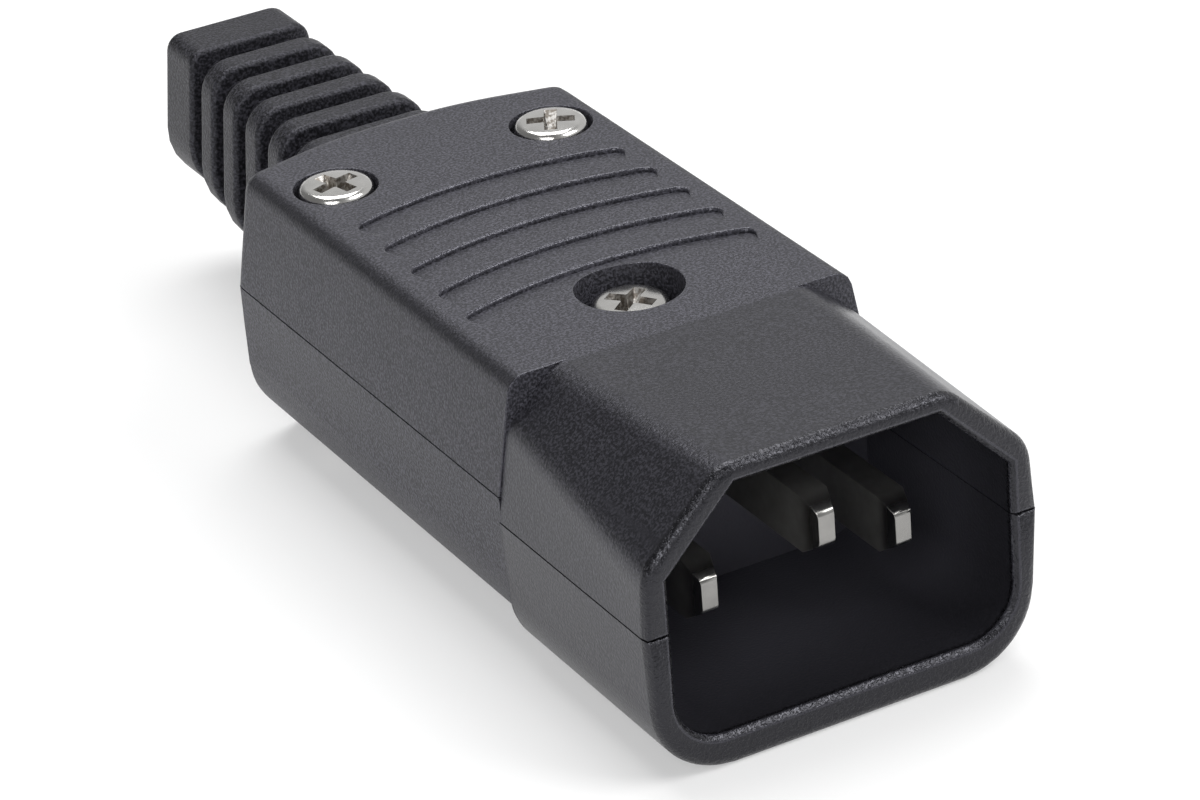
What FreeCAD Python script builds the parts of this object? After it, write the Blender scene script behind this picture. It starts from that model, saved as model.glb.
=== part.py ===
import FreeCAD, Part
import math
import os

# Rewirable male power plug of the C14 pattern, in millimetres.
# X is the width, with the plug symmetric about X = 0. The blades point along -Y and the cord leaves along +Y.
# Z is up. The origin lies on the flat underside, below the line where body and shroud meet.

V = FreeCAD.Vector

# Shroud and the socket cavity in it
cavity_width = 24.4
cavity_height = 16.8
cavity_depth = 17.2
cavity_chamfer = 5.0
cavity_bottom_radius = 3.4
shroud_side_wall = 1.8
shroud_top_wall = 1.05
shroud_bottom_wall = 2.35
shroud_length = 18.65
shroud_root_chamfer = 3.1
shroud_rim_chamfer = 5.5
shroud_rim_rise = 0.3
shroud_chamfer_round = 3.0
shroud_bottom_radius = 5.4
rim_round = 0.45
rim_bevels = 3
rim_inner_bevel = 0.35
rim_notch = 0.2

# Body of the housing
junction_step = -0.15
draft = 0.04
cover_draft = 0.18
rear_bow = 1.9
rear_flat_share = 0.38
rear_bow_radius = 28.0
rear_corner_radius = 1.3
top_edge_radius = 1.1
top_edge_bevels = 3
body_bottom_radius = 6.8
side_wall = 1.8
roof = 1.8
floor = 2.0
rear_wall = 2.4
web_thickness = 2.2
chamber_corner_radius = 1.5

# Parting of the two shells
parting_height = 12.15
parting_step = 1.65
shell_gap = 0.1

# Finger-grip steps across the top
grip_count = 5
grip_pitch = 4.05
grip_half_span = 10.2
grip_spread = 0.15
grip_arc_radius = 32.0
grip_depth = 0.35
grip_ramp = 2.3
grip_corner_radius = 0.8
grip_setback = 4.87

# Housing screws and nuts
screw_shank_radius = 1.45
screw_hole_clearance = 0.15
screw_head_radius = 2.57
screw_head_height = 1.9
screw_point = 0.6
rear_screw_spacing = 16.6
rear_recess_radius = 2.9
rear_recess_depth = 1.6
centre_recess_radius = 3.6
centre_recess_depth = 2.8
boss_wall = 1.2
pillar_wall = 1.6
nut_flats = 5.4
nut_thickness = 2.4
nut_recess = 2.0
nut_clearance = 0.1
nut_bore_clearance = 0.03
nut_roof = 1.2
recess_length = 3.3
recess_width = 0.95
recess_depth = 1.1
screw_turns = {"rear_left": 16.0, "rear_right": 62.0, "centre": 38.0}

# Blades and their terminals
blade_thickness = 2.0
blade_height = 4.0
blade_tip_length = 1.5
blade_tip_thickness = 1.15
blade_tip_height = 2.2
line_blade_recess = 4.55
earth_blade_recess = 1.95
blade_spacing = 14.0
line_blade_height = 9.35
earth_rise = 3.5
blade_clearance = 0.05
collar_width = 4.4
collar_length = 0.8
terminal_width = 5.0
terminal_length = 8.0
terminal_height = 6.5
wire_hole_radius = 1.4
wire_hole_depth = 6.0
terminal_screw_radius = 1.2
terminal_screw_head_radius = 1.9
terminal_screw_head_height = 1.5
terminal_screw_clearance = 0.03
terminal_screw_inset = 3.0
slot_width = 0.6
slot_depth = 0.7
eye_thickness = 1.0
eye_ring = 1.3
eye_clearance = 0.3
eye_gap = 1.1
eye_headroom = 0.55
eye_neck = 0.7
barrier_thickness = 1.2
barrier_overlap = 0.4

# Cord anchorage
cord_radius = 3.4
clamp_width = 4.4
clamp_thickness = 1.6
clamp_cord_room = 0.3
clamp_roof_clearance = 0.3
clamp_foot_thickness = 2.0
clamp_foot_drop = 3.3
clamp_boss_radius = 2.6
clamp_screw_radius = 1.25
clamp_screw_head_radius = 2.4
clamp_screw_head_height = 1.8
clamp_screw_depth = 5.0
clamp_screw_clearance = 0.03
saddle_width = 3.0
saddle_gap = 0.3
wiring_gap = 2.9
clamp_boss_gap = 0.3

# Strain-relief boot
boot_width_root = 11.8
boot_width_tip = 9.0
boot_flare = 1.4
boot_rise_root = 5.85
boot_rise_tip = 6.2
boot_drop_root = 9.0
boot_drop_tip = 4.85
boot_top_radius = 2.4
boot_end_top_radius = 1.3
boot_low_radius = 4.1
boot_bore_clearance = 0.1
groove_depth = 1.1
rib_count = 5
rib_pitch = 4.15
rib_thickness = 2.2
boot_root_gap = 2.5
boot_end_length = 4.5
neck_width = 9.4
neck_radius = 2.0
flange_width = 12.4
flange_height = 11.2
flange_radius = 2.0
flange_thickness = 1.5
flange_setback = 3.9
retaining_wall = 1.6
cord_way_clearance = 0.9
boot_clearance = 0.1

# Straight chords in each rounded corner of the shroud, the body's plan and the boot
corner_chord_count = 6

# Working lengths: how far a cutter passes its wall, how deep a seat sinks in the floor, what counts as
# touching, and more than the whole plug
overshoot = 1.0
seat_sink = 1.0
touch = 0.01
reach = 400.0

# Places worked out from the sizes above
body_height = shroud_bottom_wall + cavity_height + shroud_top_wall
shroud_width = cavity_width + 2 * shroud_side_wall
body_width = shroud_width + 2 * junction_step
shroud_parting = parting_height - parting_step
rim_y = -shroud_length
web_front = rim_y + cavity_depth
web_rear = web_front + web_thickness
screw_hole_radius = screw_shank_radius + screw_hole_clearance
pillar_radius = screw_hole_radius + pillar_wall
eye_inner_radius = pillar_radius + eye_clearance
eye_outer_radius = eye_inner_radius + eye_ring
nut_pocket_flats = nut_flats + 2 * nut_clearance
nut_pocket_radius = nut_pocket_flats / math.sqrt(3)
boss_radius = nut_pocket_radius + boss_wall
centre_screw_y = web_rear + eye_gap + eye_outer_radius
terminal_start = centre_screw_y + eye_outer_radius + eye_neck
terminal_end = terminal_start + terminal_length
clamp_y = terminal_end + wiring_gap + clamp_width / 2
clamp_inner_radius = cord_radius + clamp_cord_room
clamp_outer_radius = clamp_inner_radius + clamp_thickness
rear_screw_x = rear_screw_spacing / 2
rear_screw_y = clamp_y + clamp_width / 2 + clamp_boss_gap + boss_radius
flange_front = rear_screw_y + flange_setback
rear_inner = flange_front + flange_thickness + 2 * boot_clearance
body_length = rear_inner + rear_wall
chamber_end = flange_front - retaining_wall
line_x = blade_spacing / 2
earth_blade_height = line_blade_height + earth_rise
earth_blade_top = earth_blade_height + blade_height / 2
line_terminal_base = line_blade_height - terminal_height / 2
earth_terminal_base = earth_blade_top - terminal_height
pillar_top = earth_blade_top + eye_headroom
boot_axis = parting_height
boot_bore_radius = cord_radius + boot_bore_clearance
boot_first_rib = body_length + boot_root_gap
boot_end_start = boot_first_rib + rib_count * rib_pitch
boot_end = boot_end_start + boot_end_length
grip_first = rear_screw_y - grip_setback
screw_places = {
    "rear_left": (-rear_screw_x, rear_screw_y, rear_recess_radius, rear_recess_depth),
    "rear_right": (rear_screw_x, rear_screw_y, rear_recess_radius, rear_recess_depth),
    "centre": (0, centre_screw_y, centre_recess_radius, centre_recess_depth),
}


def box(low, high):
    # Block between two corners
    size = [b - a for a, b in zip(low, high)]
    return Part.makeBox(*size, V(*low))


def rod(radius, start, direction, length):
    # Round bar from a start point
    return Part.makeCylinder(radius, length, V(*start), V(*direction))


def rounded_outline(corners, place, chords=0):
    # Closed wire through (u, w, radius) corners: each radius gives an arc, or chords along that arc
    joints = []
    for i, (u, w, radius) in enumerate(corners):
        here = V(u, w, 0)
        before = V(*corners[i - 1][:2], 0) - here
        after = V(*corners[(i + 1) % len(corners)][:2], 0) - here
        before.normalize()
        after.normalize()
        half_angle = before.getAngle(after) / 2
        if radius == 0:
            joints.append((here, None, here))
            continue
        cut = radius / math.tan(half_angle)
        inward = (before + after).normalize()
        middle = here + inward * (radius / math.sin(half_angle) - radius)
        joints.append((here + before * cut, middle, here + after * cut))
    edges = []
    for i, (start, middle, end) in enumerate(joints):
        if middle is not None:
            arc = Part.Arc(place(start), place(middle), place(end)).toShape()
            edges += Part.makePolygon(arc.discretize(chords + 1)).Edges if chords else [arc]
        following = joints[(i + 1) % len(joints)][0]
        edges.append(Part.makeLine(place(end), place(following)))
    return Part.Wire(edges)


def across(y):
    # Places an outline in the upright plane at y
    return lambda p: V(p.x, y, p.y)


def prism(corners, y_from, y_to, chords=0):
    # Outline in the upright plane, drawn out along Y
    face = Part.Face(rounded_outline(corners, across(y_from), chords))
    return face.extrude(V(0, y_to - y_from, 0))


def between(first, last):
    # Straight-sided solid between two outlines
    return Part.makeLoft([first, last], True, True)


def with_added(solid, pieces):
    # Adds pieces to a solid one at a time
    for piece in pieces:
        solid = solid.fuse(piece)
    return solid


def without(solid, cutters):
    # Takes cutters out of a solid one at a time
    for cutter in cutters:
        solid = solid.cut(cutter)
    return solid


def mirrored(right_side):
    # Completes an outline from the corners of its right half, listed upwards
    left_side = [(-u, w, radius) for u, w, radius in reversed(right_side)]
    return right_side + left_side


def rounded_block(width, low, high, low_radius, high_radius):
    # Upright rounded rectangle, as corners
    return mirrored([(width / 2, low, low_radius), (width / 2, high, high_radius)])


def body_half_width(z):
    # Half width of the body, widest where the shells part
    lean = cover_draft if z > parting_height else draft
    return body_width / 2 - lean * abs(z - parting_height)


def body_plan(z, half, inset):
    # Plan of the body at one height, with rounded rear corners and a bowed rear end
    side = half - inset
    rear = body_length - inset
    return rounded_outline([
        (-side, 0, 0),
        (side, 0, 0),
        (side, rear - rear_bow, rear_corner_radius - inset),
        (rear_flat_share * half, rear, rear_bow_radius),
        (-rear_flat_share * half, rear, rear_bow_radius),
        (-side, rear - rear_bow, rear_corner_radius - inset),
    ], lambda p: V(p.x, p.y, z), corner_chord_count)


def upper_body():
    # Upper half of the body, with rounded rear corners and top edges
    base = parting_height + shell_gap
    plans = [body_plan(base, body_half_width(base), 0)]
    for i in range(top_edge_bevels + 1):
        angle = math.radians(90) * i / top_edge_bevels
        level = body_height - top_edge_radius * (1 - math.sin(angle))
        plans.append(body_plan(level, body_half_width(level), top_edge_radius * (1 - math.cos(angle))))
    return Part.makeLoft(plans, True, True)


def lower_body():
    # Lower half of the body, with a broad round along each side of the bottom
    section = prism(mirrored([
        (body_half_width(0), 0, body_bottom_radius),
        (body_half_width(parting_height), parting_height, 0),
    ]), 0, body_length)
    plan = Part.Face(body_plan(0, body_half_width(parting_height) + touch, 0))
    return section.common(plan.extrude(V(0, 0, parting_height)))


def rim_levels():
    # Places along Y and insets of the outlines that round the rim's outer edge
    levels = []
    for i in range(rim_bevels + 1):
        angle = math.radians(90) * i / rim_bevels
        levels.append((rim_y + rim_round * (1 - math.sin(angle)), rim_round * (1 - math.cos(angle))))
    return levels


def upper_shroud():
    # Upper half of the shroud: its soft chamfers grow towards the rim
    base = shroud_parting + shell_gap

    def outline(y, chamfer, top, lean, inset):
        side = shroud_width / 2 - inset
        low = top - chamfer
        return rounded_outline(mirrored([
            (side - lean * (base - shroud_parting), base, 0),
            (side - lean * (low - shroud_parting), low, shroud_chamfer_round),
            (side - lean * (top - shroud_parting) - chamfer, top, shroud_chamfer_round),
        ]), across(y), corner_chord_count)

    outlines = [outline(0, shroud_root_chamfer, body_height, cover_draft, 0)]
    for y, inset in rim_levels():
        leg = shroud_rim_chamfer - inset * (2 - math.sqrt(2))
        outlines.append(outline(y, leg, body_height + shroud_rim_rise - inset, draft, inset))
    return Part.makeLoft(outlines, True, True)


def lower_shroud():
    # Lower half of the shroud
    def outline(y, inset):
        side = shroud_width / 2 - inset
        return rounded_outline(mirrored([
            (side - draft * shroud_parting, inset, shroud_bottom_radius - inset),
            (side, shroud_parting, 0),
        ]), across(y), corner_chord_count)

    outlines = [outline(0, 0)] + [outline(y, inset) for y, inset in rim_levels()]
    return Part.makeLoft(outlines, True, True)


def cavity():
    # Socket cavity with two chamfered top corners and a small bevel round its mouth
    def corners(grow):
        low = shroud_bottom_wall - grow
        high = shroud_bottom_wall + cavity_height + grow
        half = cavity_width / 2 + grow
        leg = cavity_chamfer + grow * (2 - math.sqrt(2))
        return mirrored([
            (half, low, cavity_bottom_radius + grow),
            (half, high - leg, 0),
            (half - leg, high, 0),
        ])
    mouth = between(rounded_outline(corners(rim_inner_bevel), across(rim_y)),
                    rounded_outline(corners(0), across(rim_y + rim_inner_bevel)))
    return prism(corners(0), rim_y + rim_inner_bevel, web_front).fuse(mouth)


def blade_slots():
    # Openings in the web for the three blades, each open up to the parting of its shell
    half = blade_thickness / 2 + blade_clearance
    tall = blade_height / 2 + blade_clearance
    slots = []
    for x, z in ((-line_x, line_blade_height), (line_x, line_blade_height), (0, earth_blade_height)):
        behind = web_rear + overshoot
        slots.append(box((x - half, web_front - overshoot, z - tall), (x + half, behind, z + tall)))
        slots.append(box((x - half, 0, z), (x + half, behind, max(z + tall, parting_height))))
    return slots


def rim_notches():
    # Small V across the rim where the two shells part
    tip = V(-reach, rim_y + rim_notch, shroud_parting)
    top = V(-reach, rim_y - rim_notch, shroud_parting + 2 * rim_notch)
    low = V(-reach, rim_y - rim_notch, shroud_parting - 2 * rim_notch)
    return Part.Face(Part.makePolygon([tip, top, low, tip])).extrude(V(2 * reach, 0, 0))


def grip_steps():
    # Curved steps on top: an upright wall to the rear and a ramp that rises to the front
    steps = []
    for i in range(grip_count):
        half_angle = math.degrees(math.asin((grip_half_span + i * grip_spread) / grip_arc_radius))
        crown = grip_first - i * grip_pitch
        pivot = V(0, crown - grip_arc_radius, 0)
        wall_low = V(0, crown, body_height - grip_depth)
        wall_high = V(0, crown, body_height + grip_depth)
        ramp_end = V(0, crown - grip_ramp, body_height)
        ramp_high = V(0, crown - grip_ramp, body_height + grip_depth)
        profile = Part.makePolygon([wall_low, wall_high, ramp_high, ramp_end, wall_low])
        face = Part.Face(profile)
        face.rotate(pivot, V(0, 0, 1), -half_angle)
        step = face.revolve(pivot, V(0, 0, 1), 2 * half_angle)
        walls = [e for e in step.Edges if e.BoundBox.ZLength > grip_depth + touch]
        corners = [e for e in walls if e.BoundBox.XLength < touch]
        steps.append(step.makeFillet(grip_corner_radius, corners))
    return steps


def flange_pocket():
    # Room for the boot's flange, and the ways through the walls for its neck and the cord
    width = flange_width + 2 * boot_clearance
    tall = flange_height / 2 + boot_clearance
    pocket = prism(rounded_block(width, boot_axis - tall, boot_axis + tall, flange_radius, flange_radius),
                   flange_front, rear_inner)
    neck = neck_width + 2 * boot_clearance
    way = prism(rounded_block(neck, boot_axis - neck / 2, boot_axis + neck / 2, neck_radius, neck_radius),
                rear_inner - overshoot, body_length + overshoot)
    cord_way = rod(cord_radius + cord_way_clearance, (0, chamber_end - overshoot, boot_axis), (0, 1, 0),
                   retaining_wall + 2 * overshoot)
    return [pocket, way, cord_way]


def screw_ways():
    # Head recesses, shank holes and nut pockets of the three housing screws
    cuts = []
    for x, y, radius, depth in screw_places.values():
        cuts.append(rod(radius, (x, y, body_height - depth), (0, 0, 1), depth + overshoot))
        cuts.append(rod(screw_hole_radius, (x, y, -overshoot), (0, 0, 1), body_height + overshoot))
        cuts.append(hexagon(x, y, nut_pocket_flats, -overshoot, nut_recess + nut_thickness))
    return cuts


def hexagon(x, y, flats, low, high):
    # Upright hexagonal bar with flats facing front and rear
    radius = flats / math.sqrt(3)
    points = [V(x + radius * math.cos(math.radians(60 * k)), y + radius * math.sin(math.radians(60 * k)), low)
              for k in range(7)]
    return Part.Face(Part.makePolygon(points)).extrude(V(0, 0, high - low))


def upper_shell():
    # Upper half of the housing
    outer = upper_body().fuse(upper_shroud())
    front_clear = box((-reach, -shell_gap, 0), (reach, reach, parting_height + shell_gap))
    ceiling = body_height - roof
    low_half = body_half_width(parting_height) - side_wall
    high_half = body_half_width(ceiling) - side_wall
    chamber = prism(mirrored([(low_half, parting_height, 0), (high_half, ceiling, chamber_corner_radius)]),
                    web_rear, chamber_end)
    solid = outer.cut([front_clear, cavity(), chamber])
    bosses = []
    for name, (x, y, radius, depth) in screw_places.items():
        low = pillar_top if name == "centre" else parting_height
        bosses.append(rod(radius + boss_wall, (x, y, low), (0, 0, 1), body_height - roof / 2 - low))
    hull = outer.fuse(chamber)
    solid = with_added(solid, [boss.common(hull) for boss in bosses])
    cuts = blade_slots() + flange_pocket() + screw_ways() + grip_steps()
    return without(solid, cuts + [clamp_room(), rim_notches()])


def lower_shell():
    # Lower half of the housing, with the seats for everything inside
    outer = lower_body().fuse(lower_shroud())
    half = body_half_width(0) - side_wall
    chamber = prism(rounded_block(2 * half, floor, body_height, body_bottom_radius - side_wall, 0),
                    web_rear, chamber_end)
    solid = outer.cut([cavity(), chamber])
    seats = []
    for name, (x, y, radius, depth) in screw_places.items():
        top = nut_recess + nut_thickness + nut_roof if name == "centre" else parting_height
        seats.append(rod(boss_radius, (x, y, 0), (0, 0, 1), top))
    seats.append(rod(pillar_radius, (0, centre_screw_y, seat_sink), (0, 0, 1), pillar_top - seat_sink))
    for x, base in ((-line_x, line_terminal_base), (line_x, line_terminal_base), (0, earth_terminal_base)):
        seats.append(box((x - terminal_width / 2, terminal_start, seat_sink),
                         (x + terminal_width / 2, terminal_end, base)))
    for side in (-1, 1):
        middle = side * line_x / 2
        seats.append(box((middle - barrier_thickness / 2, terminal_start - barrier_overlap, seat_sink),
                         (middle + barrier_thickness / 2, terminal_end + barrier_overlap, parting_height)))
        seats.append(rod(clamp_boss_radius, (side * rear_screw_x, clamp_y, seat_sink), (0, 0, 1),
                         clamp_foot_base() - seat_sink))
    seats.append(box((-rear_screw_x, clamp_y - saddle_width / 2, seat_sink),
                     (rear_screw_x, clamp_y + saddle_width / 2, boot_axis - cord_radius - saddle_gap)))
    hull = outer.fuse(chamber)
    solid = with_added(solid, [seat.common(hull) for seat in seats])
    clamp_holes = [rod(clamp_screw_radius + clamp_screw_clearance,
                       (side * rear_screw_x, clamp_y, clamp_foot_base() - clamp_screw_depth), (0, 0, 1),
                       clamp_screw_depth + overshoot) for side in (-1, 1)]
    return without(solid, blade_slots() + flange_pocket() + screw_ways() + clamp_holes + [rim_notches()])


def clamp_room():
    # Room under the roof for the arch of the clamp bar
    length = clamp_width + 2 * clamp_roof_clearance
    return rod(clamp_outer_radius + clamp_roof_clearance, (0, clamp_y - length / 2, boot_axis), (0, 1, 0),
               length)


def clamp_foot_base():
    # Height of the bosses that carry the clamp bar
    return parting_height - clamp_foot_drop


def pan_head(x, y, seat, turn):
    # Screw head with a cross recess
    head = rod(screw_head_radius, (0, 0, 0), (0, 0, 1), screw_head_height)
    floor_level = screw_head_height - recess_depth
    for angle in (0, 90):
        arm = box((-recess_length / 2, -recess_width / 2, floor_level),
                  (recess_length / 2, recess_width / 2, screw_head_height + overshoot))
        arm.rotate(V(0, 0, 0), V(0, 0, 1), angle + turn)
        head = head.cut(arm)
    head.translate(V(x, y, seat))
    return head


def housing_screw(name):
    # Machine screw from its recess down through the nut
    x, y, radius, depth = screw_places[name]
    seat = body_height - depth
    tip = nut_recess - screw_point
    shank = rod(screw_shank_radius, (x, y, tip), (0, 0, 1), seat - tip)
    return pan_head(x, y, seat, screw_turns[name]).fuse(shank)


def housing_nut(name):
    # Hexagon nut at the top of its pocket
    x, y, radius, depth = screw_places[name]
    nut = hexagon(x, y, nut_flats, nut_recess, nut_recess + nut_thickness)
    bore = rod(screw_shank_radius + nut_bore_clearance, (x, y, 0), (0, 0, 1), body_height)
    return nut.cut(bore)


def blade(x, z, tip_y, tail_y):
    # Flat blade with a tapered tip and a collar that seats on the web
    def section(y, thickness, height):
        return rounded_outline([(x + sx * thickness / 2, z + sz * height / 2, 0)
                                for sx, sz in ((1, -1), (1, 1), (-1, 1), (-1, -1))], across(y))
    shoulder = tip_y + blade_tip_length
    tip = between(section(tip_y, blade_tip_thickness, blade_tip_height),
                  section(shoulder, blade_thickness, blade_height))
    bar = Part.Face(section(shoulder, blade_thickness, blade_height)).extrude(V(0, tail_y - shoulder, 0))
    collar = Part.Face(section(web_rear, collar_width, blade_height)).extrude(V(0, collar_length, 0))
    return tip.fuse([bar, collar])


def terminal_block(x, base):
    # Brass block with a hole for the wire from the rear and one for its screw from above
    block = box((x - terminal_width / 2, terminal_start, base),
                (x + terminal_width / 2, terminal_end, base + terminal_height))
    wire = rod(wire_hole_radius, (x, terminal_end - wire_hole_depth, base + terminal_height / 2), (0, 1, 0),
               wire_hole_depth)
    screw = rod(terminal_screw_radius + terminal_screw_clearance,
                (x, terminal_end - terminal_screw_inset, base + terminal_height / 2), (0, 0, 1),
                terminal_height)
    return block.cut([wire, screw])


def side_pin(side):
    # Line or neutral blade, straight back into its terminal block
    bar = blade(side * line_x, line_blade_height, rim_y + line_blade_recess, terminal_start)
    return bar.fuse(terminal_block(side * line_x, line_terminal_base))


def earth_pin():
    # Earth blade, with an eye round the centre pillar on the way to its terminal block
    bar = blade(0, earth_blade_height, rim_y + earth_blade_recess, web_rear + collar_length)
    low = earth_blade_top - eye_thickness
    ring = rod(eye_outer_radius, (0, centre_screw_y, low), (0, 0, 1), eye_thickness)
    root = box((-collar_width / 2, web_rear, low), (collar_width / 2, centre_screw_y, earth_blade_top))
    neck = box((-collar_width / 2, centre_screw_y, low), (collar_width / 2, terminal_start, earth_blade_top))
    hole = rod(eye_inner_radius, (0, centre_screw_y, low - overshoot), (0, 0, 1),
               eye_thickness + 2 * overshoot)
    strip = ring.fuse([root, neck]).cut(hole)
    return bar.fuse([strip, terminal_block(0, earth_terminal_base)])


def slotted_screw(x, y, seat, shank_radius, shank_length, head_radius, head_height):
    # Small cheese-head screw with a straight slot
    head = rod(head_radius, (x, y, seat), (0, 0, 1), head_height)
    slot = box((x - head_radius - overshoot, y - slot_width / 2, seat + head_height - slot_depth),
               (x + head_radius + overshoot, y + slot_width / 2, seat + head_height + overshoot))
    shank = rod(shank_radius, (x, y, seat - shank_length), (0, 0, 1), shank_length)
    return head.cut(slot).fuse(shank)


def terminal_screw(x, base):
    # Screw that presses a wire in its terminal block
    return slotted_screw(x, terminal_end - terminal_screw_inset, base + terminal_height,
                         terminal_screw_radius, terminal_height / 2,
                         terminal_screw_head_radius, terminal_screw_head_height)


def clamp_screw(side):
    # Screw of the cord clamp
    seat = clamp_foot_base() + clamp_foot_thickness
    return slotted_screw(side * rear_screw_x, clamp_y, seat, clamp_screw_radius,
                         clamp_foot_thickness + clamp_screw_depth - screw_point,
                         clamp_screw_head_radius, clamp_screw_head_height)


def cable_clamp_bar():
    # Bridge over the cord with a foot on each boss
    start = (0, clamp_y - clamp_width / 2, boot_axis)
    base = clamp_foot_base()
    foot_end = rear_screw_x + clamp_boss_radius
    feet = box((-foot_end, start[1], base), (foot_end, start[1] + clamp_width, base + clamp_foot_thickness))
    legs = box((-clamp_outer_radius, start[1], base),
               (clamp_outer_radius, start[1] + clamp_width, boot_axis))
    arch = rod(clamp_outer_radius, start, (0, 1, 0), clamp_width)
    below = box((-reach, -reach, 0), (reach, reach, base))
    way = rod(clamp_inner_radius, start, (0, 1, 0), clamp_width)
    open_foot = box((-clamp_inner_radius, start[1], 0),
                    (clamp_inner_radius, start[1] + clamp_width, boot_axis))
    holes = [rod(clamp_screw_radius + clamp_screw_clearance, (side * rear_screw_x, clamp_y, 0), (0, 0, 1),
                 body_height) for side in (-1, 1)]
    return feet.fuse([legs, arch]).cut([below, way, open_foot] + holes)


def boot_outline(y, inset, top_radius):
    # Section of the boot at y: wider at the bottom, and smaller towards its end
    share = (y - boot_first_rib) / (boot_end - boot_first_rib)

    def tapered(root, tip):
        return root + (tip - root) * share - inset

    half = tapered(boot_width_root / 2, boot_width_tip / 2)
    low = boot_axis - tapered(boot_drop_root, boot_drop_tip)
    high = boot_axis + tapered(boot_rise_root, boot_rise_tip)
    return mirrored([
        (half + boot_flare, low, boot_low_radius - inset),
        (half, high, top_radius - inset),
    ])


def strain_relief_boot():
    # Soft ribbed boot with a flange held between the shells
    def length(y_from, y_to, inset, top_radius):
        return prism(boot_outline(y_from, inset, top_radius), y_from, y_to, corner_chord_count)

    core = length(body_length, boot_first_rib, groove_depth, boot_top_radius)
    pieces = [length(boot_end_start, boot_end, 0, boot_end_top_radius)]
    for i in range(rib_count):
        y = boot_first_rib + i * rib_pitch
        groove = y + rib_thickness
        pieces.append(length(y, groove, 0, boot_top_radius))
        pieces.append(length(groove, y + rib_pitch, groove_depth, boot_top_radius))
    start = flange_front + boot_clearance
    neck = rounded_block(neck_width, boot_axis - neck_width / 2, boot_axis + neck_width / 2,
                         neck_radius, neck_radius)
    flange = rounded_block(flange_width, boot_axis - flange_height / 2, boot_axis + flange_height / 2,
                           flange_radius, flange_radius)
    pieces.append(prism(neck, start, body_length))
    pieces.append(prism(flange, start, rear_inner - boot_clearance))
    bore = rod(boot_bore_radius, (0, flange_front - overshoot, boot_axis), (0, 1, 0), boot_end)
    return core.fuse(pieces).cut(bore)


def main():
    os.makedirs("parts", exist_ok=True)
    pieces = {
        "upper_shell": upper_shell(),
        "lower_shell": lower_shell(),
        "strain_relief_boot": strain_relief_boot(),
        "line_pin": side_pin(1),
        "neutral_pin": side_pin(-1),
        "earth_pin": earth_pin(),
        "line_terminal_screw": terminal_screw(line_x, line_terminal_base),
        "neutral_terminal_screw": terminal_screw(-line_x, line_terminal_base),
        "earth_terminal_screw": terminal_screw(0, earth_terminal_base),
        "cable_clamp_bar": cable_clamp_bar(),
        "clamp_screw_left": clamp_screw(-1),
        "clamp_screw_right": clamp_screw(1),
    }
    for name in screw_places:
        pieces["housing_screw_" + name] = housing_screw(name)
        pieces["housing_nut_" + name] = housing_nut(name)
    for name, shape in pieces.items():
        shape.removeSplitter().exportStep("parts/" + name + ".step")


main()
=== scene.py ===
import math

import bmesh
import bpy
from mathutils import Matrix, Vector


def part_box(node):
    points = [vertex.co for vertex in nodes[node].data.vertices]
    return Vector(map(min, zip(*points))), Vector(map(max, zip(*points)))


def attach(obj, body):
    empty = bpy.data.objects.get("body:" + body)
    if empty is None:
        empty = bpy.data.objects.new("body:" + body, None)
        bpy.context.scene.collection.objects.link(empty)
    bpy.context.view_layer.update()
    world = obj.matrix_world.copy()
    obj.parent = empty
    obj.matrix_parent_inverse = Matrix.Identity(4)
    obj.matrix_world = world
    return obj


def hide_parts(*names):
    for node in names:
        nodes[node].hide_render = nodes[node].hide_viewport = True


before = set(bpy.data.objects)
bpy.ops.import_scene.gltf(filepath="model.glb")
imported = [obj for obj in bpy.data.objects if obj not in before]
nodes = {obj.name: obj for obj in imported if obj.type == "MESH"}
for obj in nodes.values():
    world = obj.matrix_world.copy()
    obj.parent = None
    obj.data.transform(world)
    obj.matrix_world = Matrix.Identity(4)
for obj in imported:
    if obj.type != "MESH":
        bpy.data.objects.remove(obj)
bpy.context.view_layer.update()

MM = 0.001

# Camera, from the photograph's vanishing lines and the known blade spacing
VIEW_TURN = math.radians(-27.226)
VIEW_RISE = math.radians(27.316)
VIEW_ROLL = math.radians(-4.637)
VIEW_DISTANCE = 315.915 * MM
VIEW_TARGET = Vector((-0.452, 11.156, 10.2)) * MM
LENS = 144.49
SENSOR = 36.0
CLIP_START = 0.01
CLIP_END = 20.0

# Merging the solids' triangles and telling their flats, corners and seams apart
MERGE = 0.0005 * MM
FLAT = math.radians(0.4)
SHARP = math.radians(34.0)
CREASE = math.radians(50.0)
LEVEL = 0.01 * MM
SEAM_HEIGHTS = (12.15 * MM, 10.5 * MM)
SEAM_REACH = 0.2 * MM

# Width and steps of the rounded edges, and how worn they are, which also lightens them as a painted sheen
HOUSING_EDGE = 0.09 * MM
HOUSING_STEPS = 2
GRIP_EDGE = 0.20 * MM
GRIP_STEPS = 3
BOOT_EDGE = 0.42 * MM
BOOT_STEPS = 3
CONTACT_EDGE = 0.07 * MM
CONTACT_STEPS = 2
SHEEN_AND_WEAR = 1.0
UNTOUCHED = 0.0

# Rim of the shroud: the solid's narrow bands, the wide round that replaces them, and the scuffed band
RIM_FRONT = -18.65 * MM
RIM_LIP = 0.45 * MM
RIM_BANDS = (0.04 * MM, 0.26 * MM)
RIM_ROUND = 0.31 * MM
RIM_STEPS = 4
RIM_SOFT_END = RIM_FRONT + RIM_LIP + 0.9 * RIM_ROUND
RIM_SCUFFED = 0.55 * MM
RIM_FADE = 0.33 * MM

# Round bottom corners of the shroud, and the turn between their chords
CORNER_TOP = 5.6 * MM
CORNER_SIDE = 8.4 * MM
CORNER_TURN = (math.radians(9.0), math.radians(18.0))
CORNER_PERCENT = 30.0
CORNER_STEPS = 2
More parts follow.
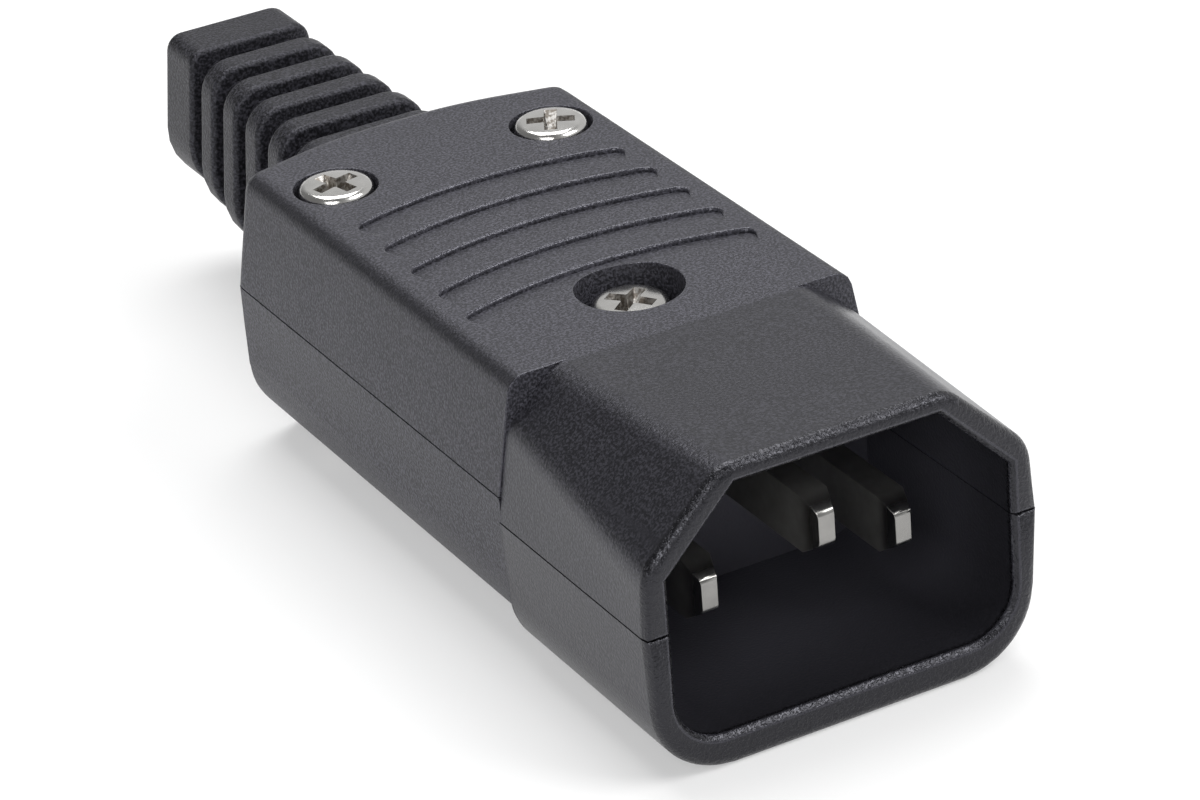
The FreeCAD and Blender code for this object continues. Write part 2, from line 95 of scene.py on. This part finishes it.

# Socket cavity in the shroud, on whose walls light is painted, more of it deeper in
CAVITY_SIDE = 12.3 * MM
CAVITY_FLOOR = 2.3 * MM
CAVITY_SHOULDER = 16.5 * MM
CAVITY_FADE = 0.4 * MM

# Body with its grip steps, the well of the centre screw and the two long round top edges, on which shade is
# painted
BODY_FRONT = 0.0
BODY_FADE = 0.5 * MM
BODY_TOP = 20.2 * MM
GRIP_FRONT = 9.0 * MM
GRIP_REAR = 28.0 * MM
GRIP_FACING = 0.29
WELL_REAR = 10.5 * MM
WELL_SIDE = 4.2 * MM
LONG_EDGE_SIDE = 11.32 * MM
LONG_EDGE_FOOT = 18.0 * MM
LONG_EDGE_START = 0.4

# Blades: the earth blade reaches further forward than the other two
TIP_ROUND = 0.30 * MM
TIP_STEPS = 3
CONTACT_TIP = -14.1 * MM
EARTH_AHEAD = 2.6 * MM
EARTH_SIDE = 2.5 * MM
EARTH_FADE = 1.0 * MM
BRIGHT_END = 0.5 * MM
DULL_START = 1.6 * MM

# Housing screws and nuts
HEAD_RADIUS = 2.57 * MM
HEAD_HEIGHT = 1.9 * MM
HEAD_CROWN = 0.08 * MM
HEAD_ROUND = 0.55 * MM
HEAD_TURNS = (30.0, 60.0, 90.0)
SHANK_RADIUS = 1.45 * MM
THREAD_PITCH = 0.5 * MM
THREAD_DEPTH = 0.27 * MM
THREAD_LENGTH = 8.0 * MM
CROSS_SPAN = 3.5 * MM
CROSS_WIDTH = 0.95 * MM
CROSS_DEPTH = 1.2 * MM
CROSS_TAPER = 0.55
CROSS_PROUD = 0.05 * MM
CROSS_CORE = 0.7 * MM
SCREW_TURNS = {"rear_left": 16.0, "rear_right": 62.0, "centre": 38.0}
NUT_CHAMFER = 0.32 * MM
NUT_FACE_SHARE = 0.97
NUT_CORNER_SHARE = 1.02
NUT_BORE = 1.48 * MM
LATHE_STEPS = 64

# Shine of the two black mouldings
PLASTIC_IOR = 1.47
RUBBER_IOR = 1.38
COOL_TINT = (0.95, 0.95, 1.06, 1.0)

# Fineness and relief of the surface patterns
PLASTIC_GRAIN = 5600.0
PLASTIC_DIMPLES = 3600.0
PLASTIC_RELIEF = 0.05 * MM
RIM_SCUFFS = 3800.0
RUBBER_GRAIN = 5200.0
RUBBER_RELIEF = 0.06 * MM
BLADE_LINES = 7000.0
BLADE_RELIEF = 0.003 * MM
STEEL_DENTS = 3200.0
STEEL_RELIEF = 0.006 * MM
PLATE_CLOUD = 900.0

# Colours of the metals
NICKEL_DARK = (0.22, 0.215, 0.21, 1.0)
NICKEL_LIGHT = (0.35, 0.345, 0.33, 1.0)
STEEL_DARK = (0.60, 0.59, 0.57, 1.0)
STEEL_LIGHT = (0.74, 0.73, 0.71, 1.0)
# Darker, patchy colour of the cross recess
RECESS_DARK = (0.20, 0.18, 0.16, 1.0)

# Floor: the share of its white that no shadow dims, which grows to all of it far from the plug
FLOOR_HALF = 3.0
FLOOR_COLOUR = (0.9, 0.9, 0.9, 1.0)
FLOOR_GLOW = 0.38
FLOOR_NEAR = 0.30
FLOOR_FAR = 0.65
WHITE = (1.0, 1.0, 1.0, 1.0)

# Studio: where its bright horizon, its overhead part and its open right side begin and end
HORIZON = (0.04, 0.14)
OVERHEAD = (0.55, 0.85)
OPEN_SIDE = (-0.25, 0.40)
WALL_LEVEL = 0.20
OPEN_LEVEL = 0.40
OVERHEAD_LOSS = 0.6

# Lamps: place, size in metres and power in watts
LAMPS = {
    "top_light": ((0.08, 0.27, 0.76), (0.6, 0.5), 5.2),
    "front_left_light": ((-0.47, -0.49, 0.43), (0.40, 0.32), 2.4),
    "front_right_light": ((0.43, -0.36, 0.58), (0.46, 0.32), 3.5),
}


def in_scene(name, data):
    """A new object of the scene, at the origin."""
    made = bpy.data.objects.new(name, data)
    bpy.context.scene.collection.objects.link(made)
    return made


def make_camera():
    """The photograph's camera, which looks at the plug from the left, in front and above."""
    data = bpy.data.cameras.new("camera")
    data.sensor_fit = "HORIZONTAL"
    data.sensor_width = SENSOR
    data.lens = LENS
    data.clip_start = CLIP_START
    data.clip_end = CLIP_END
    camera = in_scene("camera", data)
    back = Vector((
        math.sin(VIEW_TURN) * math.cos(VIEW_RISE),
        -math.cos(VIEW_TURN) * math.cos(VIEW_RISE),
        math.sin(VIEW_RISE),
    ))
    level = Vector((math.cos(VIEW_TURN), math.sin(VIEW_TURN), 0.0))
    upright = back.cross(level)
    right = math.cos(VIEW_ROLL) * level + math.sin(VIEW_ROLL) * upright
    up = back.cross(right)
    turned = Matrix((right, up, back)).transposed().to_4x4()
    camera.matrix_world = Matrix.Translation(VIEW_TARGET + back * VIEW_DISTANCE) @ turned
    bpy.context.scene.camera = camera


class Signal:
    """A shader socket that Python expressions can add to, subtract from and scale."""

    def __init__(self, finish, socket):
        self.finish = finish
        self.socket = socket

    def maths(self, operation, first, second):
        return self.finish.node("ShaderNodeMath", {"operation": operation}, {0: first, 1: second})

    def __add__(self, other):
        return self.maths("ADD", self, other)

    def __radd__(self, other):
        return self.maths("ADD", other, self)

    def __sub__(self, other):
        return self.maths("SUBTRACT", self, other)

    def __rsub__(self, other):
        return self.maths("SUBTRACT", other, self)

    def __mul__(self, other):
        return self.maths("MULTIPLY", self, other)

    def __rmul__(self, other):
        return self.maths("MULTIPLY", other, self)

    def __abs__(self):
        return self.maths("ABSOLUTE", self, 0.0)


class Finish:
    """A node tree that is filled one node at a time."""

    def __init__(self, tree):
        self.tree = tree
        tree.nodes.clear()

    def node(self, kind, settings, sockets, out=0):
        made = self.tree.nodes.new(kind)
        for name, setting in settings.items():
            setattr(made, name, setting)
        for key, given in sockets.items():
            if isinstance(given, Signal):
                self.tree.links.new(given.socket, made.inputs[key])
            else:
                made.inputs[key].default_value = given
        return Signal(self, made.outputs[out]) if made.outputs else None

    def place(self):
        return self.node("ShaderNodeTexCoord", {}, {}, out="Object")

    def noted(self, name):
        return self.node("ShaderNodeAttribute", {"attribute_name": name}, {}, out="Fac")

    def ray(self, kind):
        return self.node("ShaderNodeLightPath", {}, {}, out=kind)

    def scaled(self, place, scale):
        return self.node("ShaderNodeMapping", {}, {"Vector": place, "Scale": scale})

    def along(self, place, axis):
        return self.node("ShaderNodeSeparateXYZ", {}, {0: place}, out=axis)

    def noise(self, place, scale, detail, roughness):
        return self.node("ShaderNodeTexNoise", {}, {
            "Vector": place, "Scale": scale, "Detail": detail, "Roughness": roughness,
        })

    def ramp(self, value, low, high):
        return self.node("ShaderNodeMapRange", {"interpolation_type": "SMOOTHSTEP"}, {
            "Value": value, "From Min": low, "From Max": high,
        })

    def blend(self, share, first, second):
        return self.node("ShaderNodeMix", {"data_type": "RGBA"}, {0: share, 6: first, 7: second}, out=2)

    def bump(self, height, relief):
        return self.node("ShaderNodeBump", {}, {"Height": height, "Strength": 1.0, "Distance": relief})

    def surface(self, sockets):
        shader = self.node("ShaderNodeBsdfPrincipled", {}, sockets)
        self.node("ShaderNodeOutputMaterial", {}, {"Surface": shader})


def new_finish(name):
    """A new material and its empty node tree."""
    material = bpy.data.materials.new(name)
    material.use_nodes = True
    return material, Finish(material.node_tree)


def cool_black(level):
    """A very dark grey with a little blue."""
    return (level, level * 0.985, level * 1.2, 1.0)


def cavity_share(finish, place):
    """One on the walls of the socket cavity below its chamfers, and zero outside."""
    side = abs(finish.along(place, "X"))
    length = finish.along(place, "Y")
    height = finish.along(place, "Z")
    between = 1.0 - finish.ramp(side, CAVITY_SIDE, CAVITY_SIDE + CAVITY_FADE)
    above = finish.ramp(height, CAVITY_FLOOR - CAVITY_FADE, CAVITY_FLOOR)
    below = 1.0 - finish.ramp(height, CAVITY_SHOULDER, CAVITY_SHOULDER + CAVITY_FADE)
    ahead = 1.0 - finish.ramp(length, BODY_FRONT - CAVITY_FADE, BODY_FRONT)
    return between * above * below * ahead


def housing_plastic():
    """Black moulding: eroded grain on the body, a smoother shroud, a scuffed rim, worn edges lightened partly
    as a painted sheen, painted shade along the body's long round top edges and painted light deep in the
    socket cavity.
    """
    material, finish = new_finish("housing_plastic")
    place = finish.place()
    length = finish.along(place, "Y")
    wear_and_sheen = finish.noted("wear_and_sheen")
    turned = finish.noted("turned")
    body = finish.ramp(length, BODY_FRONT - BODY_FADE, BODY_FRONT)
    rim = 1.0 - finish.ramp(length, RIM_FRONT + RIM_SCUFFED, RIM_FRONT + RIM_SCUFFED + RIM_FADE)
    inside = cavity_share(finish, place) * (1.0 - rim)
    depth = finish.ramp(length, RIM_FRONT, BODY_FRONT)
    cloud = finish.noise(place, 150.0, 3.0, 0.55)
    grain = finish.noise(place, PLASTIC_GRAIN, 1.0, 0.5)
    dimples = finish.noise(place, PLASTIC_DIMPLES, 2.0, 0.5)
    scuffs = rim * finish.ramp(finish.noise(place, RIM_SCUFFS, 2.0, 0.6), 0.42, 0.62)
    outside = finish.blend(body, cool_black(0.008), cool_black(0.012))
    # Painted light: the cavity's walls are lighter than the outside and lighter still deeper in, lifting
    # their shade
    cavity = finish.blend(depth, cool_black(0.011), cool_black(0.065))
    tone = finish.blend(rim, finish.blend(inside, outside, cavity), cool_black(0.003))
    specks = finish.ramp(grain, 0.38, 0.70) * (0.45 + 0.55 * body) * (1.0 - 0.9 * rim) * (1.0 - 0.8 * inside)
    speckled = finish.blend(specks * (0.7 + 0.6 * cloud), tone, cool_black(0.06))
    # Edges lightened in colour: partly wear, partly a painted sheen where they catch the light
    edged = finish.blend(wear_and_sheen * 0.4, speckled, cool_black(0.05))
    polish = 0.07 * rim + (0.06 + 0.22 * body) * wear_and_sheen
    relief = grain * (0.5 + 0.5 * body) + dimples * 0.2 + scuffs * 0.38
    finish.surface({
        # Painted shade: the body's long round top edges are darkened the more they turn from the flats
        "Base Color": finish.blend(turned * 0.85, edged, cool_black(0.004)),
        "Roughness": 0.28 + 0.16 * body + 0.08 * cloud + 0.10 * scuffs - polish,
        "IOR": PLASTIC_IOR,
        "Specular Tint": COOL_TINT,
        "Normal": finish.bump(relief, PLASTIC_RELIEF),
    })
    return material


def boot_rubber():
    """Soft black moulding with an even matt grain."""
    material, finish = new_finish("boot_rubber")
    place = finish.place()
    cloud = finish.noise(place, 240.0, 3.0, 0.55)
    grain = finish.noise(place, RUBBER_GRAIN, 1.0, 0.5)
    tone = finish.blend(cloud, cool_black(0.003), cool_black(0.006))
    finish.surface({
        "Base Color": finish.blend(finish.ramp(grain, 0.38, 0.70) * 0.6, tone, cool_black(0.055)),
        "Roughness": 0.40 + 0.10 * cloud,
        "IOR": RUBBER_IOR,
        "Specular Tint": COOL_TINT,
        "Normal": finish.bump(grain, RUBBER_RELIEF),
    })
    return material


def plated_contact():
    """Nickel plate over a drawn brass blade, with fine lines along it and a brighter tip."""
    material, finish = new_finish("plated_contact")
    place = finish.place()
    drawn = finish.noise(finish.scaled(place, (1.0, 0.05, 1.0)), BLADE_LINES, 2.0, 0.5)
    cloud = finish.noise(place, PLATE_CLOUD, 3.0, 0.6)
    middle_blade = 1.0 - finish.ramp(abs(finish.along(place, "X")), EARTH_SIDE, EARTH_SIDE + EARTH_FADE)
    length = finish.along(place, "Y") + middle_blade * EARTH_AHEAD
    behind_tip = finish.ramp(length, CONTACT_TIP + BRIGHT_END, CONTACT_TIP + DULL_START)
    finish.surface({
        "Base Color": finish.blend(cloud, NICKEL_DARK, NICKEL_LIGHT),
        "Metallic": 1.0,
        "Roughness": 0.22 + 0.06 * cloud + 0.30 * behind_tip,
        "Normal": finish.bump(drawn, BLADE_RELIEF),
    })
    return material


def bright_steel():
    """Bright plated steel with a little cloudiness, small dents and a darker, patchy colour in the cross
    recess.
    """
    material, finish = new_finish("bright_steel")
    place = finish.place()
    sunk = finish.noted("sunk")
    cloud = finish.noise(place, PLATE_CLOUD, 3.0, 0.5)
    dents = finish.noise(place, STEEL_DENTS, 2.0, 0.6)
    worn = finish.ramp(dents, 0.40, 0.60)
    plate = finish.blend(cloud, STEEL_DARK, STEEL_LIGHT)
    finish.surface({
        "Base Color": finish.blend(sunk * (0.35 + 0.65 * worn), plate, RECESS_DARK),
        "Metallic": 1.0,
        "Roughness": 0.12 + 0.14 * cloud + 0.14 * sunk,
        "Normal": finish.bump(dents, STEEL_RELIEF),
    })
    return material


def smooth_mesh(name, shape):
    """Turns a bmesh into a mesh that is smooth up to its creases."""
    for face in shape.faces:
        face.smooth = True
    for edge in shape.edges:
        edge.smooth = len(edge.link_faces) == 2 and edge.calc_face_angle() < CREASE
    mesh = bpy.data.meshes.new(name)
    shape.to_mesh(mesh)
    shape.free()
    return mesh


def finished(name, shape, material, node):
    """Makes the shape a piece in the place of its node, with evenly lit flats and a soft rim."""
    mesh = smooth_mesh(name, shape)
    piece = in_scene(name, mesh)
    mesh.materials.append(material)
    flats = piece.vertex_groups.new(name="flats")
    flats.add([vert.index for vert in mesh.vertices if vert.co.y > RIM_SOFT_END], 1.0, "REPLACE")
    normals = piece.modifiers.new("flats", "WEIGHTED_NORMAL")
    normals.keep_sharp = True
    normals.vertex_group = flats.name
    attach(piece, "root")
    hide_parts(node)


def on_seam(edge):
    """Whether an edge lies along the parting of the two shells."""
    return all(min(abs(vert.co.z - seam) for seam in SEAM_HEIGHTS) < SEAM_REACH for vert in edge.verts)


def is_ridge(edge):
    """Whether the two faces of an edge meet outwards."""
    return len(edge.link_faces) == 2 and edge.is_convex


def is_outer_corner(edge):
    """Whether an edge is a sharp ridge."""
    return is_ridge(edge) and edge.calc_face_angle() > SHARP


def edges_at(shape, depth):
    """The edges that lie whole in one plane across the plug."""
    return [edge for edge in shape.edges if all(abs(vert.co.y - depth) < LEVEL for vert in edge.verts)]


def rounded_edges(shape, edges, width, steps, worn_sheen_share):
    """Rounds the edges and notes on the new faces how worn they are, which also lightens their colour as a
    painted sheen.
    """
    wear_and_sheen = shape.faces.layers.float.get("wear_and_sheen") or shape.faces.layers.float.new("wear_and_sheen")
    made = bmesh.ops.bevel(
        shape, geom=edges, offset=width, offset_type="OFFSET", segments=steps, profile=0.5,
        affect="EDGES", material=-1, clamp_overlap=False,
    )
    for face in made["faces"]:
        face[wear_and_sheen] = worn_sheen_share


def between_bands(edge):
    """Whether an edge runs around the rim between two of its narrow bands."""
    depths = [vert.co.y - RIM_FRONT for vert in edge.verts]
    within = all(RIM_BANDS[0] < depth < RIM_BANDS[1] for depth in depths)
    level = abs(depths[0] - depths[1]) < RIM_BANDS[0]
    return within and (level or edge.calc_length() > RIM_LIP) and not on_seam(edge)


def in_round_corner(edge):
    """Whether an edge runs along one of the shroud's two round bottom corners."""
    places = [vert.co for vert in edge.verts]
    low = all(place.z < CORNER_TOP and abs(place.x) > CORNER_SIDE for place in places)
    ahead = all(place.y < BODY_FRONT + RIM_LIP for place in places)
    along = abs(places[0].y - places[1].y) > RIM_LIP / 2.0
    if not (low and ahead and along and is_ridge(edge)):
        return False
    return CORNER_TURN[0] < edge.calc_face_angle() < CORNER_TURN[1]


def round_rim(shape):
    """Makes the shroud's bottom corners finer, and swaps its rim's narrow bands for one wide round."""
    bands = [edge for edge in shape.edges if between_bands(edge)]
    bmesh.ops.dissolve_edges(shape, edges=bands, use_verts=True)
    corners = [edge for edge in shape.edges if in_round_corner(edge)]
    bmesh.ops.bevel(
        shape, geom=corners, offset=CORNER_PERCENT, offset_type="PERCENT", segments=CORNER_STEPS, profile=0.5,
        affect="EDGES", material=-1, clamp_overlap=False,
    )
    behind = RIM_FRONT + RIM_LIP
    lip = edges_at(shape, behind)
    for edge in edges_at(shape, RIM_FRONT):
        around = [vert for face in edge.link_faces for vert in face.verts]
        if any(abs(vert.co.y - behind) < LEVEL for vert in around):
            lip.append(edge)
    rounded_edges(shape, lip, RIM_ROUND, RIM_STEPS, UNTOUCHED)


def on_grip(edge):
    """Whether an edge is the crest of a grip step's upright wall."""
    spot = (edge.verts[0].co + edge.verts[1].co) / 2.0
    high = all(abs(vert.co.z - BODY_TOP) < LEVEL for vert in edge.verts)
    among = GRIP_FRONT < spot.y < GRIP_REAR and (spot.y > WELL_REAR or abs(spot.x) > WELL_SIDE)
    if not (high and among and is_outer_corner(edge)):
        return False
    return min(face.normal.y for face in edge.link_faces) < GRIP_FACING


def round_upper(shape):
    """Rounds the rim and, a little more than other edges, the grip steps of the upper half."""
    round_rim(shape)
    crests = [edge for edge in shape.edges if on_grip(edge)]
    rounded_edges(shape, crests, GRIP_EDGE, GRIP_STEPS, SHEEN_AND_WEAR)


def round_tip(shape):
    """Rounds a blade's tip above and below its front face."""
    front = min(vert.co.y for vert in shape.verts)
    tip = [edge for edge in edges_at(shape, front) if abs(edge.verts[0].co.z - edge.verts[1].co.z) < LEVEL]
    rounded_edges(shape, tip, TIP_ROUND, TIP_STEPS, UNTOUCHED)


def paint_long_edge_shade(shape):
    """Paints shade on the body's two round top edges: notes how far each point turns from the flats beside
    it, and the more it turns the darker its colour.
    """
    turned = shape.verts.layers.float.new("turned")
    shape.normal_update()
    for vert in shape.verts:
        beside = abs(vert.co.x) > LONG_EDGE_SIDE and vert.co.z > LONG_EDGE_FOOT and vert.co.y > BODY_FRONT
        slant = 2.0 * abs(vert.normal.x) * vert.normal.z
        share = (slant - LONG_EDGE_START) / (1.0 - LONG_EDGE_START)
        vert[turned] = max(0.0, share) if beside else 0.0


def merged_copy(node):
    """A bmesh of a solid's triangles, merged, with its flats made whole."""
    shape = bmesh.new()
    shape.from_mesh(nodes[node].data)
    bmesh.ops.remove_doubles(shape, verts=shape.verts, dist=MERGE)
    bmesh.ops.dissolve_limit(shape, angle_limit=FLAT, verts=shape.verts, edges=shape.edges)
    return shape


def round_corners(shape, width, steps):
    """Rounds all the outer corners away from the seam."""
    corners = [edge for edge in shape.edges if is_outer_corner(edge) and not on_seam(edge)]
    rounded_edges(shape, corners, width, steps, SHEEN_AND_WEAR)


def housing_shell(node, round_first, material):
    """One half of the housing."""
    shape = merged_copy(node)
    round_first(shape)
    round_corners(shape, HOUSING_EDGE, HOUSING_STEPS)
    paint_long_edge_shade(shape)
    finished(node + "_moulding", shape, material, node)


def boot(material):
    """The ribbed boot."""
    shape = merged_copy("strain_relief_boot")
    round_corners(shape, BOOT_EDGE, BOOT_STEPS)
    finished("boot_moulding", shape, material, "strain_relief_boot")


def blade(node, material):
    """One blade with its terminal block."""
    shape = merged_copy(node)
    round_tip(shape)
    round_corners(shape, CONTACT_EDGE, CONTACT_STEPS)
    finished(node + "_plated", shape, material, node)


def lathe(profile):
    """A closed solid of revolution from (radius, height) points, from the top down."""
    shape = bmesh.new()
    line = [shape.verts.new((radius, 0.0, height)) for radius, height in profile]
    for first, second in zip(line, line[1:]):
        shape.edges.new((first, second))
    bmesh.ops.spin(
        shape, geom=shape.verts[:] + shape.edges[:], cent=(0.0, 0.0, 0.0), axis=(0.0, 0.0, 1.0),
        angle=math.tau, steps=LATHE_STEPS, use_merge=True,
    )
    bmesh.ops.remove_doubles(shape, verts=shape.verts, dist=MERGE)
    bmesh.ops.recalc_face_normals(shape, faces=shape.faces)
    return shape


def tool_object(name, shape):
    """An object that only lives while another piece is cut."""
    mesh = bpy.data.meshes.new(name)
    shape.to_mesh(mesh)
    shape.free()
    return in_scene(name, mesh)


def machined(blank, cuts):
    """The blank after each (tool, operation), as a new bmesh."""
    stock = tool_object("blank", blank)
    tools = []
    for shape, operation in cuts:
        tool = tool_object("tool", shape)
        cut = stock.modifiers.new("cut", "BOOLEAN")
        cut.operation = operation
        cut.solver = "EXACT"
        cut.object = tool
        tools.append(tool)
    graph = bpy.context.evaluated_depsgraph_get()
    mesh = bpy.data.meshes.new_from_object(stock.evaluated_get(graph))
    result = bmesh.new()
    result.from_mesh(mesh)
    bpy.data.meshes.remove(mesh)
    for used in [stock] + tools:
        bpy.data.objects.remove(used)
    bmesh.ops.remove_doubles(result, verts=result.verts, dist=MERGE)
    return result


def cross_wing(top, angle):
    """One tapered bar of the cross recess."""
    shape = bmesh.new()
    bmesh.ops.create_cube(shape, size=1.0)
    floor = [vert for vert in shape.verts if vert.co.z < 0.0]
    bmesh.ops.scale(shape, vec=(CROSS_TAPER, CROSS_TAPER, 1.0), verts=floor)
    bmesh.ops.scale(shape, vec=(CROSS_SPAN, CROSS_WIDTH, CROSS_DEPTH), verts=shape.verts)
    bmesh.ops.translate(shape, vec=(0.0, 0.0, top + CROSS_PROUD - CROSS_DEPTH / 2.0), verts=shape.verts)
    bmesh.ops.rotate(shape, cent=(0.0, 0.0, 0.0), matrix=Matrix.Rotation(angle, 3, "Z"), verts=shape.verts)
    return shape


def cross_core(top):
    """The conical middle of the cross recess."""
    return lathe([
        (0.0, top + CROSS_PROUD),
        (CROSS_CORE, top + CROSS_PROUD),
        (CROSS_CORE * CROSS_TAPER, top - CROSS_DEPTH),
        (0.0, top - CROSS_DEPTH - CROSS_CORE * CROSS_TAPER / 2.0),
    ])


def screw_profile(top, tip):
    """Crowned head with a rounded edge, plain shank, then thread down to a blunt tip."""
    profile = [(0.0, top), (HEAD_RADIUS - HEAD_ROUND, top - HEAD_CROWN)]
    for angle in HEAD_TURNS:
        turn = math.radians(angle)
        profile.append((
            HEAD_RADIUS - HEAD_ROUND * (1.0 - math.sin(turn)),
            top - HEAD_CROWN - HEAD_ROUND * (1.0 - math.cos(turn)),
        ))
    seat = top - HEAD_HEIGHT
    profile += [(HEAD_RADIUS, seat), (SHANK_RADIUS, seat)]
    for turn in range(int(THREAD_LENGTH / THREAD_PITCH)):
        crest = tip + THREAD_LENGTH - turn * THREAD_PITCH
        profile.append((SHANK_RADIUS, crest))
        profile.append((SHANK_RADIUS - THREAD_DEPTH, crest - THREAD_PITCH / 2.0))
    profile += [(SHANK_RADIUS - THREAD_DEPTH, tip), (0.0, tip)]
    return profile


def note_recess(shape, top):
    """Notes which faces lie in the cross recess below the crown of the head."""
    sunk = shape.faces.layers.float.new("sunk")
    for face in shape.faces:
        centre = face.calc_center_median()
        in_recess = centre.xy.length < CROSS_SPAN / 2.0
        face[sunk] = float(in_recess and 1.5 * HEAD_CROWN < top - centre.z < HEAD_HEIGHT)


def middle(low, high):
    """The upright middle line of a box, at height zero."""
    return Vector(((low[0] + high[0]) / 2.0, (low[1] + high[1]) / 2.0, 0.0))


def housing_screw(place, material):
    """Pan-head screw with a cross recess."""
    node = "housing_screw_" + place
    low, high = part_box(node)
    top = high[2]
    blank = lathe(screw_profile(top, low[2]))
    tools = [cross_wing(top, 0.0), cross_wing(top, math.pi / 2.0), cross_core(top)]
    shape = machined(blank, [(tool, "DIFFERENCE") for tool in tools])
    note_recess(shape, top)
    turn = Matrix.Rotation(math.radians(SCREW_TURNS[place]), 4, "Z")
    bmesh.ops.transform(shape, matrix=Matrix.Translation(middle(low, high)) @ turn, verts=shape.verts)
    finished("pan_head_screw_" + place, shape, material, node)


def housing_nut(place, material):
    """Hexagon nut with turned corners and a bore for its screw."""
    node = "housing_nut_" + place
    low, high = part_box(node)
    corner = (high[0] - low[0]) / 2.0
    flat = (high[1] - low[1]) / 2.0
    tall = high[2] - low[2]
    half = tall / 2.0
    blank = bmesh.new()
    bmesh.ops.create_cone(
        blank, cap_ends=True, segments=6, radius1=corner, radius2=corner, depth=tall,
        matrix=Matrix.Rotation(math.radians(30.0), 4, "Z"),
    )
    turned = lathe([
        (0.0, half),
        (flat * NUT_FACE_SHARE, half),
        (corner * NUT_CORNER_SHARE, half - NUT_CHAMFER),
        (corner * NUT_CORNER_SHARE, NUT_CHAMFER - half),
        (flat * NUT_FACE_SHARE, -half),
        (0.0, -half),
    ])
    bore = lathe([(0.0, tall), (NUT_BORE, tall), (NUT_BORE, -tall), (0.0, -tall)])
    shape = machined(blank, [(turned, "INTERSECT"), (bore, "DIFFERENCE")])
    lift = middle(low, high) + Vector((0.0, 0.0, (low[2] + high[2]) / 2.0))
    bmesh.ops.translate(shape, vec=lift, verts=shape.verts)
    finished("hexagon_nut_" + place, shape, material, node)


def repaint(node, material):
    """Gives a solid that is shown as it is its finish."""
    mesh = nodes[node].data
    mesh.materials.clear()
    mesh.materials.append(material)


def make_floor():
    """A pale floor that shows white and keeps the plug's shadow."""
    shape = bmesh.new()
    bmesh.ops.create_grid(shape, x_segments=1, y_segments=1, size=FLOOR_HALF)
    mesh = bpy.data.meshes.new("floor")
    shape.to_mesh(mesh)
    shape.free()
    floor = in_scene("floor", mesh)
    material, finish = new_finish("pale_floor")
    place = finish.place()
    across = finish.along(place, "X")
    away = finish.along(place, "Y")
    far = finish.ramp(across * across + away * away, FLOOR_NEAR ** 2, FLOOR_FAR ** 2)
    watched = finish.ray("Is Camera Ray") + finish.ray("Is Glossy Ray") + finish.ray("Is Transmission Ray")
    seen = watched * (FLOOR_GLOW + (1.0 - FLOOR_GLOW) * far)
    matt = finish.node("ShaderNodeBsdfDiffuse", {}, {"Color": FLOOR_COLOUR})
    glow = finish.node("ShaderNodeEmission", {}, {"Color": WHITE, "Strength": 1.0})
    both = finish.node("ShaderNodeMixShader", {}, {0: seen, 1: matt, 2: glow})
    finish.node("ShaderNodeOutputMaterial", {}, {"Surface": both})
    mesh.materials.append(material)


def make_world():
    """A studio that is white along its horizon and dim high up towards the left."""
    world = bpy.data.worlds.new("studio")
    bpy.context.scene.world = world
    world.use_nodes = True
    finish = Finish(world.node_tree)
    direction = finish.node("ShaderNodeTexCoord", {}, {}, out="Generated")
    across = finish.along(direction, "X")
    rise = finish.along(direction, "Z")
    horizon = 1.0 - finish.ramp(rise, *HORIZON)
    overhead = finish.ramp(rise, *OVERHEAD)
    open_side = finish.ramp(across, *OPEN_SIDE)
    walls = WALL_LEVEL + OPEN_LEVEL * open_side * (1.0 - OVERHEAD_LOSS * overhead)
    level = walls * (1.0 - horizon) + horizon
    studio = finish.node("ShaderNodeBackground", {}, {"Color": WHITE, "Strength": level})
    finish.node("ShaderNodeOutputWorld", {}, {"Surface": studio})


def softbox(name, place, size, power):
    """A rectangular lamp that looks at the plug."""
    data = bpy.data.lights.new(name, "AREA")
    data.shape = "RECTANGLE"
    data.size, data.size_y = size
    data.energy = power
    lamp = in_scene(name, data)
    lamp.location = place
    lamp.rotation_mode = "QUATERNION"
    lamp.rotation_quaternion = (VIEW_TARGET - Vector(place)).to_track_quat("-Z", "Y")


make_camera()
make_floor()
make_world()
for name, lamp in LAMPS.items():
    softbox(name, *lamp)
bpy.context.scene.view_settings.view_transform = "Standard"

plastic = housing_plastic()
rubber = boot_rubber()
contact = plated_contact()
steel = bright_steel()

housing_shell("upper_shell", round_upper, plastic)
housing_shell("lower_shell", round_rim, plastic)
boot(rubber)
for pin in ("line_pin", "neutral_pin", "earth_pin"):
    blade(pin, contact)
for place in SCREW_TURNS:
    housing_screw(place, steel)
    housing_nut(place, steel)
for node in nodes:
    if "terminal_screw" in node or "clamp" in node:
        repaint(node, steel)
